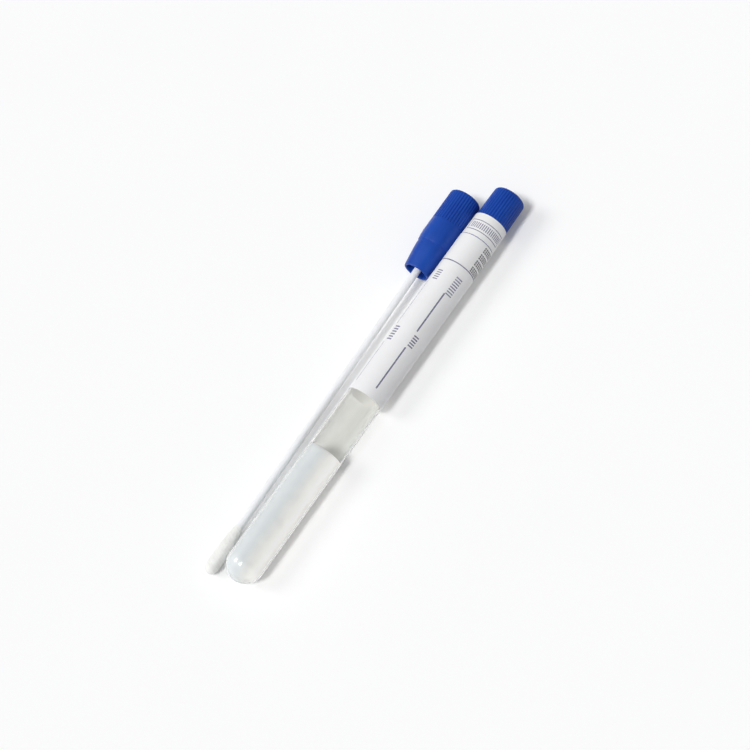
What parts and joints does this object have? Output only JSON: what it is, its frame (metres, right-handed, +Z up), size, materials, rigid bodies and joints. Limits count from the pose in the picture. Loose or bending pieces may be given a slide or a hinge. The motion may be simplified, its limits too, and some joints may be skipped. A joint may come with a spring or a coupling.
{
  "type": "specimen swab tube",
  "caption": "Round-bottomed clear tube of transport gel with a push-in blue stopper sealed by its paper label, and the matching capped swab lying beside it.",
  "frame": {"origin": "bottom centre of the bounding box, on the surface that the tube and the swab lie on", "axes": "+Y along the tube towards the stopper, +Z up, the swab on the -X side"},
  "size_m": [0.024, 0.1546, 0.0122],
  "materials": {
    "clear_plastic": "clear moulded plastic",
    "gel": "cloudy semi-solid gel",
    "paper": "smooth white label paper",
    "blue_plastic": "satin moulded plastic",
    "white_plastic": "smooth white plastic",
    "fibre": "wound white fibre"
  },
  "bodies": {
    "tube_set": {"tube": "clear_plastic", "transport_gel": "gel", "label": "paper", "swab_cap": "blue_plastic", "swab_shaft": "white_plastic", "swab_bud": "fibre"},
    "stopper_unit": {"stopper": "blue_plastic", "seal_band": "paper"}
  },
  "joints": [
    {"name": "stopper_pull", "type": "slide", "parent": "tube_set", "child": "stopper_unit", "axis": [0, 1, 0], "range_m": [0, 0.032]}
  ]
}
